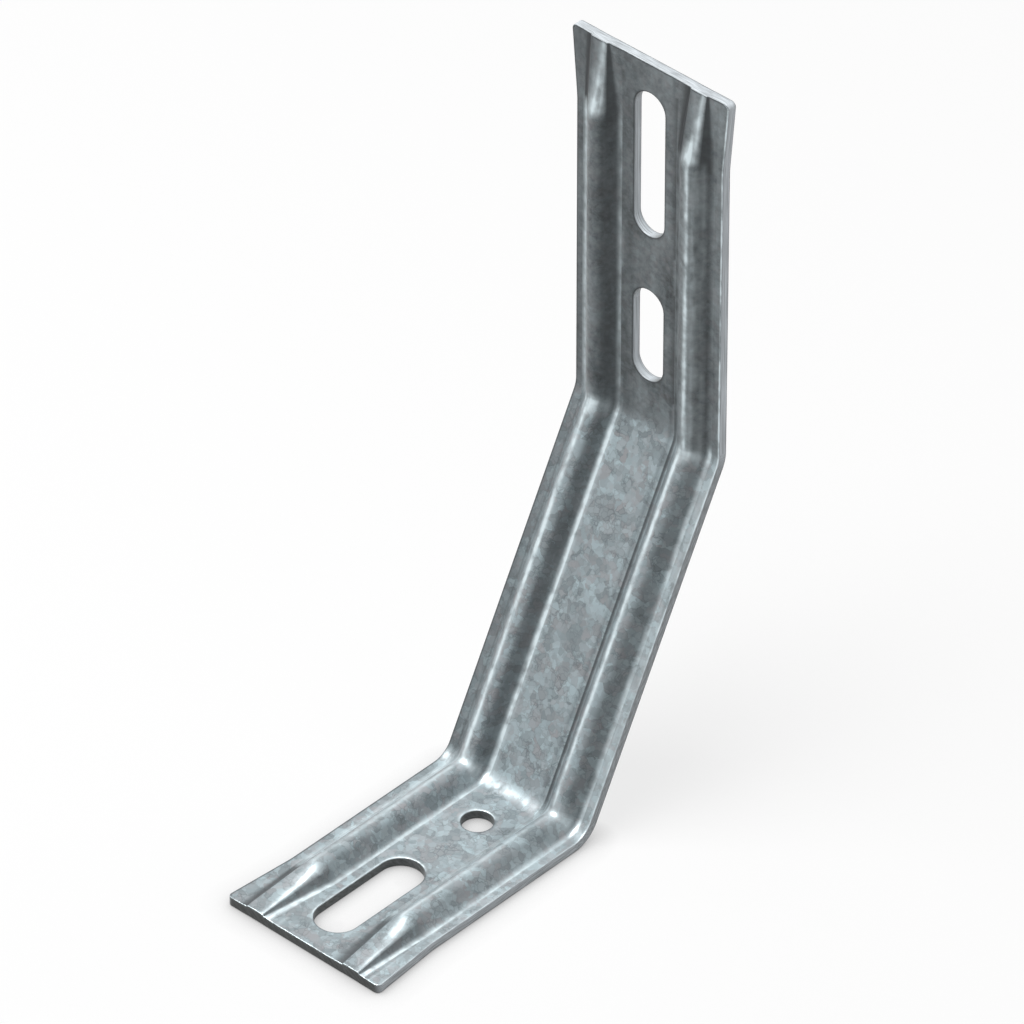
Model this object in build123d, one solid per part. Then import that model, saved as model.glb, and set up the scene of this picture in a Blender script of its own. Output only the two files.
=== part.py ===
from build123d import *
import math
import os

os.makedirs("parts", exist_ok=True)

# Frame: X runs across the strip, the lower leg lies along Y, Z is up
# Origin: axis of the round screw hole, on the underside of the lower leg

# Sheet, and the flare of each end beyond the body, to the sharp corners
sheet = 2.0
body_width = 37.5
end_flare = 1.35
corner_round = 1.2
edge_round = 0.2

# Legs, measured on the inner face to the sharp corners of the bends
lower_leg = 60.0
middle_leg = 80.0
upper_leg = 85.0
middle_lean = 28.0
lower_bend_radius = 5.0
upper_bend_radius = 6.0

# Two pressed ridges on the inner face
side_flange = 2.15
ridge_width = 9.4
ridge_height = 3.3
crest_round = 2.6
foot_round = 1.4

# Run-outs of the ridges at both ends: a ramp with a flat top, from a low swelling up to a rounded nose
run_out = 16.5
nose = 6.0
top_width = 3.9
top_crown = 0.06
swell_step = 0.35
swell_height = 0.42
swell_shift = 0.8
foot_strip = 0.3
fold_rise = 0.12

# Openings on the centre line
screw_hole = 6.5
hole_from_end = 49.3
lower_slot_width = 9.5
lower_slot_span = 17.5
lower_slot_from_end = 10.0
upper_slot_width = 7.7
long_slot_span = 25.8
long_slot_from_end = 10.6
short_slot_span = 13.8
slot_bridge = 13.0
rim_round = 0.2

# Ridge profile: two foot arcs and a crest arc, joined by straight flanks
outer_foot = body_width / 2 - side_flange
inner_foot = outer_foot - ridge_width
ridge_centre = (outer_foot + inner_foot) / 2
round_sum = crest_round + foot_round
round_drop = ridge_height - round_sum
round_gap = math.hypot(ridge_width / 2, round_drop)
flank = math.atan2(round_drop, ridge_width / 2) + math.asin(round_sum / round_gap)
web_half = inner_foot - foot_strip


def middle_of(start, end):
    """Point halfway between two points."""
    return ((start[0] + end[0]) / 2, (start[1] + end[1]) / 2)


def between(low, high, share):
    """Point, or list of points, at a share of the way from low to high."""
    if isinstance(low, list):
        return [between(a, b, share) for a, b in zip(low, high)]
    return (low[0] + share * (high[0] - low[0]), low[1] + share * (high[1] - low[1]))


def ridge_points(depth):
    """Outer fold, outer foot, crest, inner foot and web fold of the full ridge, at a depth in the sheet."""
    foot = foot_round + depth
    crest = crest_round - depth
    crest_axis = ridge_height - crest_round
    outer = []
    top = []
    inner = []
    for part in (0.0, 0.5, 1.0):
        a = flank * part
        b = flank * (1 - 2 * part)
        outer.append((outer_foot - foot * math.sin(a), foot_round - foot * math.cos(a)))
        top.append((ridge_centre + crest * math.sin(b), crest_axis + crest * math.cos(b)))
        inner.insert(0, (inner_foot + foot * math.sin(a), foot_round - foot * math.cos(a)))
    return [(outer_foot + foot_strip, -depth), outer, top, inner, (web_half, -depth)]


def swell_points(depth):
    """The same five at the end of the sheet, where a low swelling is left on the inner face."""
    pressed = 0.0 if depth > 0 else 1.0
    rise = pressed * swell_height - depth
    foot_rise = pressed * fold_rise - depth
    centre = ridge_centre + swell_shift
    half = top_width / 2
    step = half + swell_step
    foot = step + foot_strip
    outer_ends = [(centre + foot, foot_rise), (centre + step, foot_rise)]
    inner_ends = [(centre - step, foot_rise), (centre - foot, foot_rise)]
    outer = [outer_ends[0], middle_of(*outer_ends), outer_ends[1]]
    top = [(centre + half, rise), (centre, rise + pressed * top_crown), (centre - half, rise)]
    inner = [inner_ends[0], middle_of(*inner_ends), inner_ends[1]]
    return [(outer_foot + swell_shift, -depth), outer, top, inner, (web_half, -depth)]


def nose_points(depth):
    """The same five at the foot of the nose, on the straight way between the two, but with a flat top."""
    share = 1 - nose / run_out
    fold, outer, top, inner, web_fold = [
        between(low, high, share) for low, high in zip(swell_points(depth), ridge_points(depth))
    ]
    if depth == 0:
        level = middle_of(top[0], top[2])
        top[1] = (level[0], level[1] + 2 * top_crown)
    return [fold, outer, top, inner, web_fold]


def stretch(start, middle, end):
    """Arc through three points, or a line where they lie in a row."""
    width = end[0] - start[0]
    rise = end[1] - start[1]
    if abs((middle[0] - start[0]) * rise - (middle[1] - start[1]) * width) < 1e-6:
        return Line(start, end)
    return ThreePointArc(start, middle, end)


def wing(points, half_width):
    """Closed section of one side of the sheet, from its edge to the web."""
    edges = []
    for depth in (0.0, sheet):
        fold, outer, top, inner, web_fold = points(depth)
        edges.append(Line((half_width, -depth), fold))
        edges.append(Line(fold, outer[0]))
        edges.append(stretch(*outer))
        edges.append(Line(outer[2], top[0]))
        edges.append(stretch(*top))
        edges.append(Line(top[2], inner[0]))
        edges.append(stretch(*inner))
        edges.append(Line(inner[2], web_fold))
    edges.append(Line((web_half, 0.0), (web_half, -sheet)))
    edges.append(Line((half_width, 0.0), (half_width, -sheet)))
    return Face(Wire(edges))


def ahead(point, heading, distance):
    """Point (y, z) at a distance along the heading."""
    tilt = math.radians(heading)
    return (point[0] + distance * math.cos(tilt), point[1] + distance * math.sin(tilt))


def station(point, heading):
    """Section plane at a point (y, z) of the inner face, square to the heading."""
    along = (0, math.cos(math.radians(heading)), math.sin(math.radians(heading)))
    return Plane(origin=(0, point[0], point[1]), x_dir=(-1, 0, 0), z_dir=along)


def leg(face, point, heading, length):
    """Straight stretch of a section."""
    plane = station(point, heading)
    return extrude(plane * face, length, dir=plane.z_dir)


def bend(face, point, heading, radius, turn):
    """Section carried round a bend whose axis lies on the inner side."""
    centre = ahead(point, heading + 90, radius)
    return revolve(station(point, heading) * face, Axis((0, centre[0], centre[1]), (1, 0, 0)), turn)


full = wing(ridge_points, body_width / 2)
brow = wing(nose_points, body_width / 2 + end_flare * nose / run_out)
tail = wing(swell_points, body_width / 2 + end_flare)
web = Pos(0, -sheet / 2) * Rectangle(2 * web_half, sheet)

# Course of the inner face, from the lower end to the upper end
lower_turn = 90 - middle_lean
upper_turn = middle_lean
lower_setback = lower_bend_radius * math.tan(math.radians(lower_turn / 2))
upper_setback = upper_bend_radius * math.tan(math.radians(upper_turn / 2))
lower_end = (-hole_from_end, sheet)
lower_brow = ahead(lower_end, 0, run_out - nose)
lower_start = ahead(lower_end, 0, run_out)
lower_corner = ahead(lower_end, 0, lower_leg)
lower_in = ahead(lower_corner, 0, -lower_setback)
lower_out = ahead(lower_corner, lower_turn, lower_setback)
upper_corner = ahead(lower_corner, lower_turn, middle_leg)
upper_in = ahead(upper_corner, lower_turn, -upper_setback)
upper_out = ahead(upper_corner, 90, upper_setback)
upper_end = ahead(upper_corner, 90, upper_leg)
upper_start = ahead(upper_end, 90, -run_out)
upper_brow = ahead(upper_end, 90, nose - run_out)
lower_run = lower_leg - lower_setback
middle_run = middle_leg - lower_setback - upper_setback
upper_run = upper_leg - upper_setback

lower_bow = JernArc(lower_in, (1, 0), lower_bend_radius, lower_turn)
upper_bow = JernArc(upper_in, lower_bow % 1, upper_bend_radius, upper_turn)
runs = [Line(lower_end, lower_in), Line(lower_out, upper_in), Line(upper_out, upper_end)]
course = Plane.YZ * Wire(runs + [lower_bow, upper_bow])

# Flat web, with its two bends
strip = leg(web, lower_end, 0, lower_run)
strip += bend(web, lower_in, 0, lower_bend_radius, lower_turn)
strip += leg(web, lower_out, lower_turn, middle_run)
strip += bend(web, upper_in, lower_turn, upper_bend_radius, upper_turn)
strip += leg(web, upper_out, 90, upper_run)

# One side of the sheet: ridge, flange and edge, flaring over the run-outs
side = loft([station(lower_end, 0) * tail, station(lower_brow, 0) * brow], ruled=True)
side += loft([station(lower_brow, 0) * brow, station(lower_start, 0) * full], ruled=True)
side += leg(full, lower_start, 0, lower_run - run_out)
side += bend(full, lower_in, 0, lower_bend_radius, lower_turn)
side += leg(full, lower_out, lower_turn, middle_run)
side += bend(full, upper_in, lower_turn, upper_bend_radius, upper_turn)
side += leg(full, upper_out, 90, upper_run - run_out)
side += loft([station(upper_start, 90) * full, station(upper_brow, 90) * brow], ruled=True)
side += loft([station(upper_brow, 90) * brow, station(upper_end, 90) * tail], ruled=True)

# Rounded corners at both ends
corner_x = body_width / 2 + end_flare
corner_edges = side.edges().filter_by(lambda e: abs(abs(e.center().X) - corner_x) < 0.001)
side = fillet(corner_edges, corner_round)
blank = strip + side + mirror(side, about=Plane.YZ)

# Round screw hole and slots
lower_face = Plane(origin=(0, lower_end[0], lower_end[1]), x_dir=(0, 1, 0), z_dir=(0, 0, 1))
upper_face = Plane(origin=(0, upper_end[0], upper_end[1]), x_dir=(0, 0, -1), z_dir=(0, -1, 0))
short_slot_from_end = long_slot_from_end + long_slot_span + upper_slot_width + slot_bridge
hole_shape = Circle(screw_hole / 2)
lower_slot_shape = SlotCenterToCenter(lower_slot_span, lower_slot_width)
long_slot_shape = SlotCenterToCenter(long_slot_span, upper_slot_width)
short_slot_shape = SlotCenterToCenter(short_slot_span, upper_slot_width)
lower_shapes = Pos(hole_from_end, 0) * hole_shape
lower_shapes += Pos(lower_slot_from_end + lower_slot_span / 2, 0) * lower_slot_shape
upper_shapes = Pos(long_slot_from_end + long_slot_span / 2, 0) * long_slot_shape
upper_shapes += Pos(short_slot_from_end + short_slot_span / 2, 0) * short_slot_shape
lower_cut = extrude(lower_face * lower_shapes, 2 * sheet, both=True)
upper_cut = extrude(upper_face * upper_shapes, 2 * sheet, both=True)
pierced = blank - lower_cut - upper_cut

# Rims and side edges, rolled over on the inner face by the press tool
rims = new_edges(blank, lower_cut, upper_cut, combined=pierced)
lower_rims = rims.filter_by(lambda e: abs(lower_face.to_local_coords(e.center()).Z) < 0.001)
upper_rims = rims.filter_by(lambda e: abs(upper_face.to_local_coords(e.center()).Z) < 0.001)
rimmed = fillet(lower_rims + upper_rims, rim_round)
side_edges = rimmed.edges().filter_by(lambda e: abs(e.center().X) > body_width / 2 - 0.001)
side_edges = side_edges.filter_by(lambda e: course.distance_to((0, (e @ 0.5).Y, (e @ 0.5).Z)) < 0.01)
bracket = fillet(side_edges, edge_round)

bracket.label = "bracket"
export_step(bracket, "parts/bracket.step")
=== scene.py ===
"""Window frame fixing bracket: its pressed sheet, zinc finish, floor, lamps and camera."""

import math

import bpy
import numpy as np
from bpy.props import FloatProperty, FloatVectorProperty, IntProperty, PointerProperty
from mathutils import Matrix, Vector


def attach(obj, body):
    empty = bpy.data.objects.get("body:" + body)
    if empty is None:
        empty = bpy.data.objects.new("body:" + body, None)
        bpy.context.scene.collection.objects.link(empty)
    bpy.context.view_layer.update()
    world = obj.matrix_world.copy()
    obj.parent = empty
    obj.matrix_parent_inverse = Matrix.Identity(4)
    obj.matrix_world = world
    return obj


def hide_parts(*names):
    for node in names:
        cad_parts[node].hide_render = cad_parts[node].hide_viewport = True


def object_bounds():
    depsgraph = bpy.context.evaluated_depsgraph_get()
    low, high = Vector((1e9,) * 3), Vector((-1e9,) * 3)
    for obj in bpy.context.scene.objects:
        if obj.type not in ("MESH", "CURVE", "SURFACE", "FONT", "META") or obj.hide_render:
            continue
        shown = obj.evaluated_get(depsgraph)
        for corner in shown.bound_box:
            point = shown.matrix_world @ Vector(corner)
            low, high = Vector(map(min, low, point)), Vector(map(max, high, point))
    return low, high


bl_info = {
    "name": "Frame fixing bracket",
    "version": (1, 0, 0),
    "blender": (4, 5, 0),
    "location": "View3D > Sidebar > Bracket",
    "description": "Builds a window frame fixing bracket, its zinc finish and its studio",
    "category": "Object",
}

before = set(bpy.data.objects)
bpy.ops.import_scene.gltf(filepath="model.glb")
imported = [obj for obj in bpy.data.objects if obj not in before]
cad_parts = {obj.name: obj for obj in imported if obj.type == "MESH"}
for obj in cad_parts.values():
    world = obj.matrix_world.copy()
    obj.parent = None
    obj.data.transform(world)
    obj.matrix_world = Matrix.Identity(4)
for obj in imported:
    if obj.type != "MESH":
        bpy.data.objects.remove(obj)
frame_low, frame_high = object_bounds()
LOWER_END = frame_low.y
TOP_END = frame_high.z
ACROSS = np.array([1.0, 0.0, 0.0])

# Widths of the painted highlight lines, as shares of half a crest, of a foot's arc or of the strip beside it
LINE_WIDTH = 0.26
START_WIDTH = 0.3
FOOT_WIDTH = 0.6
FOLD_WIDTH = 0.12

# Rows in the middle leg are this many leg steps apart; equal points are welded on this grid, in metres
MIDDLE_STEPS = 3
WELD_GRID = 1e-8

# Rims of openings: how their rings spread, how many of them a rim's painted highlight or shade covers, and
# how strong it is
RING_SPREAD = 1.6
RIM_RINGS = 1.6
RIM_SHARE = 0.8

# Noise of the zinc, in waves to the metre
CLOUD_SCALE = 90.0
CRACK_SCALE = 300.0
PATCH_SCALE = 420.0
FINE_SCALE = 800.0
GRAIN_SCALE = 1600.0
VEIL_SCALE = (260.0, 260.0, 70.0)
STREAK_SCALE = (900.0, 60.0, 60.0)

# Shares of large flakes, small flakes and clouds in the tone, and tones of the three flake colours
TONE_SHARES = (0.55, 0.45, 0.6)
TONE_PLACES = (0.2, 0.5, 0.8)

# Waves of the punched walls and of the sheared edges: through the sheet, and to the metre along it
WALL_WAVES = (1.0, 900.0)
EDGE_WAVES = (9.0, 80.0)

# Borders of the flakes: waves to a flake, push in flakes, and sharpness
RAGGED_SCALE = 1.3
RAGGED_PUSH = 1.1
BORDER_SHARPNESS = 12.0

# Height of the grain and drop of the floor, in metres, and strength of the soft shadow under the sheet
BUMP_HEIGHT = 0.00006
FLOOR_DROP = 0.0002
CONTACT_STRENGTH = 0.7

# Lamps: azimuth and elevation in degrees, and distance, width and height in metres
LAMPS = {
    "key_lamp": (312, 70, 1.0, 0.8, 0.8),
    "back_lamp": (240, 46, 1.0, 0.5, 0.5),
    "front_lamp": (314, 14, 0.9, 0.3, 0.5),
    "rim_lamp": (165, 18, 1.0, 0.5, 0.5),
    "side_lamp": (100, 14, 1.0, 0.5, 0.5),
}


def kind_of(maker, **fixed):
    """A maker of properties of one kind, each from its name, description and default."""

    def make(name, description, default):
        return maker(name=name, description=description, default=default, **fixed)

    return make


def angle(name, description, degrees):
    """An angle, given here in degrees and kept in radians."""
    return in_radians(name, description, math.radians(degrees))


# Sizes are in metres and colours linear. Legs are three shares, from the lower leg to the upper one,
# and ends are two, for the run-outs at the lower and at the upper end.
length = kind_of(FloatProperty, unit="LENGTH", subtype="DISTANCE", precision=5)
in_radians = kind_of(FloatProperty, unit="ROTATION", subtype="ANGLE")
colour = kind_of(FloatVectorProperty, size=3, min=0, max=1, subtype="COLOR")
share = kind_of(FloatProperty)
legs = kind_of(FloatVectorProperty, size=3)
ends = kind_of(FloatVectorProperty, size=2)
count = kind_of(IntProperty, min=1)


class SheetSizes(bpy.types.PropertyGroup):
    """Sizes of the pressed sheet, measured on its inner face to the sharp corners."""

    sheet: length("Sheet", "Thickness of the sheet", 0.002)
    body_width: length("Body width", "Width of the strip between its ends", 0.0375)
    end_flare: length("End flare", "Extra width of each end, on either side", 0.00135)
    corner_round: length("Corner round", "Radius of the four corners of the strip", 0.0012)
    front_round: length("Front round", "Radius of the arrises on the inner face", 0.00022)
    back_round: length("Back round", "Radius of the arrises on the outer face", 0.0001)
    lower_leg: length("Lower leg", "Length of the lower leg", 0.060)
    middle_leg: length("Middle leg", "Length of the middle leg", 0.080)
    middle_lean: angle("Middle lean", "Lean of the middle leg from upright", 28)
    lower_bend: length("Lower bend", "Inner radius of the lower bend", 0.005)
    upper_bend: length("Upper bend", "Inner radius of the upper bend", 0.006)
    side_flange: length("Side flange", "Flat strip outside each ridge", 0.00215)
    ridge_width: length("Ridge width", "Width of a ridge from foot to foot", 0.0094)
    ridge_height: length("Ridge height", "Height of a ridge above the inner face", 0.0033)
    crest_round: length("Crest round", "Radius of a ridge's crest", 0.0026)
    foot_round: length("Foot round", "Radius of a ridge's feet", 0.0014)
    run_out: length("Run-out", "Length of a ridge's run-out", 0.0165)
    nose: length("Nose", "Length of a run-out's rounded nose", 0.006)
    nose_blend: length("Nose blend", "Length of the nose's blend into the ridge", 0.0020)
    top_width: length("Top width", "Width of the run-out's flat top", 0.0039)
    top_crown: length("Top crown", "Crown of that top at the sheet's end", 0.00006)
    swell_height: length("Swell height", "Height of the swelling at the end", 0.00042)
    swell_step: length("Swell step", "Width of the step beside that swelling", 0.00035)
    swell_shift: length("Swell shift", "How far out from the ridge's centre it lies", 0.0008)
    foot_strip: length("Foot strip", "Least width between a ridge and its folds", 0.0003)
    fold_rise: length("Fold rise", "Rise of the pressed strips beside the swelling", 0.00012)


class OpeningSizes(bpy.types.PropertyGroup):
    """Sizes and places of the openings, measured along the sheet from its nearer end."""

    screw_hole: length("Screw hole", "Diameter of the round hole", 0.0065)
    hole_from_end: length("Hole from end", "From the lower end to the round hole's axis", 0.0493)
    lower_width: length("Lower slot width", "Width of the slot in the lower leg", 0.0095)
    lower_span: length("Lower slot span", "Between the two arc centres of the lower slot", 0.0175)
    lower_from_end: length("Lower slot from end", "From the lower end to the slot's first centre", 0.010)
    upper_width: length("Upper slot width", "Width of both slots in the upper leg", 0.0077)
    long_span: length("Long slot span", "Between the two arc centres of the long slot", 0.0258)
    long_from_end: length("Long slot from end", "From the upper end to the slot's first centre", 0.0106)
    short_span: length("Short slot span", "Between the two arc centres of the short slot", 0.0138)
    slot_bridge: length("Slot bridge", "Metal left between the two upper slots", 0.013)
    margin: length("Margin", "Room for mesh rows round an opening", 0.0016)


class MeshSteps(bpy.types.PropertyGroup):
    """How finely the sheet's surface is divided."""

    leg_step: length("Leg step", "Row spacing in the legs", 0.00085)
    run_step: length("Run step", "Row spacing in the run-outs", 0.0006)
    bend_rows: count("Bend rows", "Rows in each bend", 20)
    corner_rows: count("Corner rows", "Rows round a corner", 8)
    web_columns: count("Web columns", "Columns in the flat web", 18)
    foot_columns: count("Foot columns", "Columns in each foot of a ridge", 6)
    strip_columns: count("Strip columns", "Columns in each strip beside a ridge", 4)
    flank_columns: count("Flank columns", "Columns in each flank of a ridge", 3)
    crest_columns: count("Crest columns", "Columns in a crest", 18)
    flange_columns: count("Flange columns", "Columns in a side flange", 4)
    round_rings: count("Round rings", "Rings in a rounded arris", 4)
    plate_rings: count("Plate rings", "Rings between an opening and its block", 7)


class ZincMarks(bpy.types.PropertyGroup):
    """Where highlights and shade are painted into the zinc's colour, as shares; where the highlights are, the
    zinc is also glossier.
    """

    # Painted highlight: left_crest, left_foot, left_side, right_crest, right_band, right_side, right_foot,
    # right_flange, right_border, ramp, ramp_foot, web_band, corner_spot and kink_spot, placed by crest_place
    # and the ramp's place, width and start. Painted shade: left_near, left_far, left_flange, right_near,
    # right_far, groove, ramp_shade, ramp_left, web_left, top_rim and left_border. Painted light on the cut
    # edges: side_pale and top_pale.
    crest_place: legs("Crest place", "Place of a crest's line, from -1 at its left to 1", (-0.25, -0.3, 0.2))
    left_crest: legs("Left crest", "Rubbed line on the left crest", (0.5, 1.0, 0.0))
    left_foot: legs("Left foot", "Rubbed line on the left ridge's right foot", (0.62, 0.95, 0.35))
    left_near: legs("Left near", "Dullness of the left ridge's left foot and flank", (0.0, 0.6, 0.0))
    left_far: legs("Left far", "Dullness of the left ridge's right flank", (0.3, 0.6, 0.55))
    left_flange: legs("Left flange", "Dullness of the left flange", (0.05, 0.45, 0.35))
    left_side: legs("Left side", "Rubbing of the left ridge's left flank", (0.4, 0.0, 0.5))
    right_crest: legs("Right crest", "Rubbed line on the right crest", (0.5, 0.8, 0.75))
    right_band: legs("Right band", "Rubbing beside the line on the right crest", (0.0, 0.0, 0.28))
    right_side: legs("Right side", "Rubbing of the right ridge's left flank", (0.2, 0.0, 0.15))
    right_foot: legs("Right foot", "Rubbed line on the right ridge's right foot", (0.7, 0.45, 0.1))
    right_near: legs("Right near", "Dullness of the right ridge's left foot and flank", (0.3, 0.9, 0.9))
    right_far: legs("Right far", "Dullness of the right ridge's right flank", (0.18, 0.36, 0.45))
    right_flange: legs("Right flange", "Rubbing of the right flange", (0.05, 0.22, 0.08))
    ramp: ends("Ramp", "Rubbed line on a run-out's top", (0.9, 1.0))
    ramp_foot: ends("Ramp foot", "Rubbed line at a run-out's right foot", (0.9, 0.0))
    groove: ends("Groove", "Dullness of the groove on a run-out's left", (0.85, 1.0))
    ramp_shade: ends("Ramp shade", "Dullness of a run-out's right flank", (0.6, 0.8))
    ramp_place: ends("Ramp place", "Where that line lies at the nose", (0.35, 0.0))
    ramp_width: ends("Ramp width", "How wide that line is at the nose", (0.7, 0.85))
    ramp_start: ends("Ramp start", "Where that line lies at the sheet's end", (0.95, 0.6))
    ramp_left: ends("Ramp left", "Dullness of the left part of a run-out's top", (0.0, 0.6))
    web_left: share("Web left", "Dullness of the upper web's left part", 0.35)
    top_rim: share("Top rim", "Dullness along the upper end", 0.7)
    top_pale: share("Top pale", "How light the upper end is", 0.78)
    right_border: legs("Right border", "Rubbing along the sheet's right border", (0.2, 0.3, 0.8))
    left_border: share("Left border", "Dullness along the sheet's left border", 0.9)
    web_band: share("Web band", "Rubbed band across the web in the lower bend", 0.34)
    corner_spot: share("Corner spot", "Rubbed spots of the ridges at the lower bend", 1.0)
    kink_spot: share("Kink spot", "Rubbed spots of the ridges at the upper bend", 0.9)
    side_pale: legs("Side pale", "How light the sheared side edges are", (0.85, 0.65, 1.0))
    calm: legs("Calm", "How even and dark the flakes are", (0.0, 0.0, 0.65))


class ZincFinish(bpy.types.PropertyGroup):
    """Colours and scale of the zinc."""

    zinc: colour("Zinc", "Middle colour of the zinc flakes", (0.385, 0.460, 0.490))
    light_flake: colour("Light flake", "Colour of the flakes that face the light", (0.505, 0.612, 0.650))
    dark_flake: colour("Dark flake", "Colour of the flakes that face away", (0.280, 0.328, 0.348))
    warm_flake: colour("Warm flake", "Colour of the flakes that have stained", (0.405, 0.410, 0.428))
    calm_zinc: colour("Calm zinc", "Colour of the finer, darker zinc", (0.245, 0.268, 0.280))
    # Painted highlight: the colour painted where the zinc would catch the lamps; those places are also
    # glossier, by the gloss and roughness given below.
    highlit: colour("Rubbed zinc", "Colour where the tool has rubbed the zinc", (0.770, 0.875, 0.910))
    # Painted shade: the dark colour painted into the folds, onto flanks turned from the lamps and along
    # borders.
    painted_shade_colour: colour("Dull fold", "Colour of the dirt in the folds", (0.055, 0.062, 0.066))
    # Shaded and lit copies of one colour for the cut faces: painted shade and painted light, picked by how
    # each face is turned.
    shaded_cut: colour("Cut wall", "Colour of the punched walls and of the lower end", (0.120, 0.129, 0.127))
    lit_cut: colour("Cut edge", "Colour of the sheared sides and of the upper end", (0.600, 0.645, 0.680))
    gloss: share("Gloss", "Metallic share of the zinc", 0.06)
    shiny_gloss: share("Rubbed gloss", "Metallic share where the zinc is rubbed or sheared", 0.65)
    roughness: share("Roughness", "Roughness of the zinc", 0.42)
    shiny_roughness: share("Rubbed roughness", "Roughness where the zinc is rubbed", 0.30)
    flake_size: length("Flake size", "Width of the larger flakes", 0.0027)
    fleck_size: length("Fleck size", "Width of the smaller flakes", 0.0013)


class StudioSetup(bpy.types.PropertyGroup):
    """Floor, lamps and camera."""

    azimuth: angle("Azimuth", "Direction of the camera, from the front towards the right", 42.85)
    elevation: angle("Elevation", "Height of the camera above the horizon", 37.99)
    distance: length("Distance", "From the camera to the point it looks at", 2.241)
    lens: share("Lens", "Focal length in millimetres on a sensor 36 mm wide", 411.9)
    aim_x: length("Aim X", "The point the camera looks at, across the strip", -0.00073)
    aim_y: length("Aim Y", "That point, along the lower leg", 0.0107)
    aim_z: length("Aim Z", "That point's height", 0.07169)
    floor: colour("Floor", "The floor's colour as camera and gloss see it", (0.98, 0.98, 0.98))
    bounce: colour("Bounce", "The floor's colour as diffuse light sees it", (0.20, 0.20, 0.20))
    glow: share("Glow", "Share of plain white in the floor as the camera sees it", 0.8)
    contact: length("Contact", "Reach of the soft shadow under the sheet", 0.006)
    floor_size: length("Floor size", "Half the width of the floor", 3.0)
    key_lamp: share("Key lamp", "Radiance of the large lamp above, to the left", 5.8)
    back_lamp: share("Back lamp", "Radiance of the lamp behind, to the left", 0.8)
    front_lamp: share("Front lamp", "Radiance of the low lamp in front, to the left", 0.4)
    rim_lamp: share("Rim lamp", "Radiance of the low lamp behind, to the right", 1.4)
    side_lamp: share("Side lamp", "Radiance of the low lamp at the right", 1.3)
    sky: share("Sky", "Strength of the world for diffuse light", 0.02)


def stops(start, end, step):
    """Even places from start to end, no further apart than step, without the end itself."""
    parts = max(1, math.ceil((end - start) / step))
    return np.linspace(start, end, parts, endpoint=False)


class Course:
    """The bent course of the inner face, by length along the sheet from its lower end."""

    def __init__(self, sizes):
        self.lower_turn = math.pi / 2 - sizes.middle_lean
        self.upper_turn = sizes.middle_lean
        lower_setback = sizes.lower_bend * math.tan(self.lower_turn / 2)
        upper_setback = sizes.upper_bend * math.tan(self.upper_turn / 2)
        upper_leg = TOP_END - sizes.sheet - sizes.middle_leg * math.sin(self.lower_turn)
        self.lower_arc = sizes.lower_bend * self.lower_turn
        self.middle_run = sizes.middle_leg - lower_setback - upper_setback
        self.upper_arc = sizes.upper_bend * self.upper_turn
        self.bend_start = sizes.lower_leg - lower_setback
        self.bend_end = self.bend_start + self.lower_arc
        self.kink_start = self.bend_end + self.middle_run
        self.kink_end = self.kink_start + self.upper_arc
        self.total = self.kink_end + (upper_leg - upper_setback)
        self.sizes = sizes

    def heading(self, s):
        """What each bend adds to the sheet's angle from level: it grows evenly along the bend."""
        lower = np.clip((s - self.bend_start) / self.sizes.lower_bend, 0, self.lower_turn)
        upper = np.clip((s - self.kink_start) / self.sizes.upper_bend, 0, self.upper_turn)
        return lower, upper

    def place(self, x, h, s):
        """Point at x across the sheet, at height h above its inner face and at length s along it.

        Each stretch adds its own clipped share of the length: a run adds length times its direction,
        and an arc of radius r from heading a to heading b adds r times (sin b - sin a, cos a - cos b).
        The height is laid off square to the heading.
        """
        x, h, s = np.broadcast_arrays(x, h, s)
        lower, upper = self.heading(s)
        head = lower + upper
        first = np.clip(s, 0, self.bend_start)
        second = np.clip(s - self.bend_end, 0, self.middle_run)
        third = np.maximum(s - self.kink_end, 0)
        turn = self.lower_turn
        r1 = self.sizes.lower_bend
        r2 = self.sizes.upper_bend
        y = LOWER_END + first + r1 * np.sin(lower) + second * math.cos(turn)
        y = y + r2 * (np.sin(turn + upper) - math.sin(turn)) * (upper > 0)
        z = self.sizes.sheet + r1 * (1 - np.cos(lower)) + second * math.sin(turn)
        z = z + r2 * (math.cos(turn) - np.cos(turn + upper)) * (upper > 0) + third
        return np.stack([x, y - h * np.sin(head), z + h * np.cos(head)], axis=-1)

    def along(self, s):
        """Direction of the sheet at length s."""
        lower, upper = self.heading(s)
        head = lower + upper
        return np.stack([0 * head, np.cos(head), np.sin(head)], axis=-1)


def blend(low, high, share):
    """low where share is 0, high where it is 1."""
    return low + (high - low) * share


def joined(*parts):
    """Grids set side by side, column after column."""
    return np.concatenate(parts, axis=1)


def row_places(course, sizes, steps):
    """Lengths of the mesh rows: closest at the corners and bends, widest apart in the plain middle leg."""
    inset = sizes.front_round
    inner_round = sizes.corner_round - inset
    turn = np.linspace(math.pi / 2, 0, steps.corner_rows, endpoint=False)
    corner = sizes.corner_round - inner_round * np.sin(turn)
    run = sizes.run_out + sizes.nose_blend
    total = course.total
    return np.concatenate([
        corner,
        stops(sizes.corner_round, run, steps.run_step),
        stops(run, course.bend_start, steps.leg_step),
        np.linspace(course.bend_start, course.bend_end, steps.bend_rows, endpoint=False),
        stops(course.bend_end, course.kink_start, MIDDLE_STEPS * steps.leg_step),
        np.linspace(course.kink_start, course.kink_end, steps.bend_rows, endpoint=False),
        stops(course.kink_end, total - run, steps.leg_step),
        stops(total - run, total - sizes.corner_round, steps.run_step),
        [total - sizes.corner_round],
        (total - corner)[::-1],
    ])


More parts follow.
